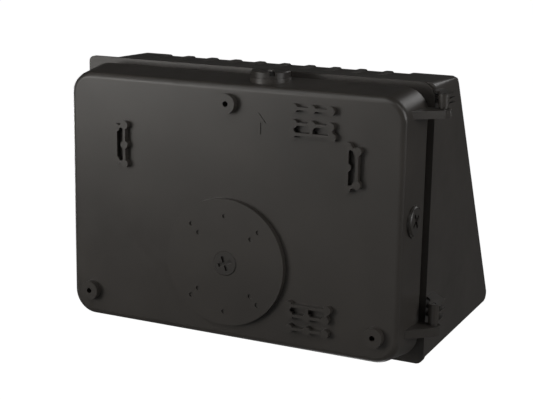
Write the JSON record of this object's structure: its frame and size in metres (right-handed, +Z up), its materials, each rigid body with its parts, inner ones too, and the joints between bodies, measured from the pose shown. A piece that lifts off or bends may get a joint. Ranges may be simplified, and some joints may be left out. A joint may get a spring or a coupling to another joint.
{
  "type": "wall pack light",
  "caption": "Wedge-shaped outdoor wall light: a cast back box that mounts on a wall or outlet box, and a ribbed front housing hinged on one side, with a lens facing down.",
  "frame": {"origin": "on the wall plane at the centre of the round outlet-box pad on the back plate", "axes": "+Y points into the wall, -Y towards the viewer in front, +Z up; the hinges are on the -X side"},
  "size_m": [0.3493, 0.247, 0.243],
  "materials": {
    "bronze_powder_coat": "cast, with a dark bronze powder coat, satin, fine texture",
    "plug_finish": "cast, painted dark bronze, satin",
    "pin_steel": "plain ground steel",
    "stainless_steel": "plain",
    "blackened_steel": "blackened",
    "ground_green": "green zinc",
    "black_rubber": "matt silicone",
    "clear_glass": "clear tempered, polished",
    "tray_aluminium": "mill finish sheet",
    "board_white": "white solder mask",
    "emitter_yellow": "phosphor under clear resin",
    "reflector_bright": "bright anodised",
    "driver_case": "painted white, satin, potted inside",
    "red_insulation": "PVC",
    "black_insulation": "PVC",
    "terminal_plastic": "ivory nylon"
  },
  "bodies": {
    "back": {"back_box": "bronze_powder_coat", "rear_entry_plug": "plug_finish", "side_entry_plug": "plug_finish", "latch_side_entry_plug": "plug_finish", "top_entry_plug": "plug_finish", "upper_hinge_pin": "pin_steel", "lower_hinge_pin": "pin_steel", "terminal_block": "terminal_plastic", "ground_screw": "ground_green"},
    "door": {"front_housing": "bronze_powder_coat", "door_gasket": "black_rubber", "lens_frame": "bronze_powder_coat", "lens": "clear_glass", "lens_gasket": "black_rubber", "lens_screw_1": "stainless_steel", "lens_screw_2": "stainless_steel", "lens_screw_3": "stainless_steel", "lens_screw_4": "stainless_steel", "lens_screw_5": "stainless_steel", "lens_screw_6": "stainless_steel", "led_tray": "tray_aluminium", "tray_screw_1": "stainless_steel", "tray_screw_2": "stainless_steel", "tray_screw_3": "stainless_steel", "tray_screw_4": "stainless_steel", "led_board": "board_white", "led_emitters": "emitter_yellow", "board_screw_1": "stainless_steel", "board_screw_2": "stainless_steel", "board_screw_3": "stainless_steel", "board_screw_4": "stainless_steel", "reflector": "reflector_bright", "led_driver": "driver_case", "driver_screw_1": "stainless_steel", "driver_screw_2": "stainless_steel", "positive_lead": "red_insulation", "negative_lead": "black_insulation", "lead_grommet": "black_rubber"},
    "upper_latch": {"upper_latch_screw": "blackened_steel"},
    "lower_latch": {"lower_latch_screw": "blackened_steel"}
  },
  "joints": [
    {"name": "door_hinge", "type": "hinge", "parent": "back", "child": "door", "pos_m": [-0.172, -0.044, 0.05], "axis": [0, 0, -1], "range_deg": [0, 100]},
    {"name": "upper_latch_screw_slide", "type": "slide", "parent": "door", "child": "upper_latch", "axis": [0, -1, 0], "range_m": [0, 0.006]},
    {"name": "lower_latch_screw_slide", "type": "slide", "parent": "door", "child": "lower_latch", "axis": [0, -1, 0], "range_m": [0, 0.006]}
  ]
}
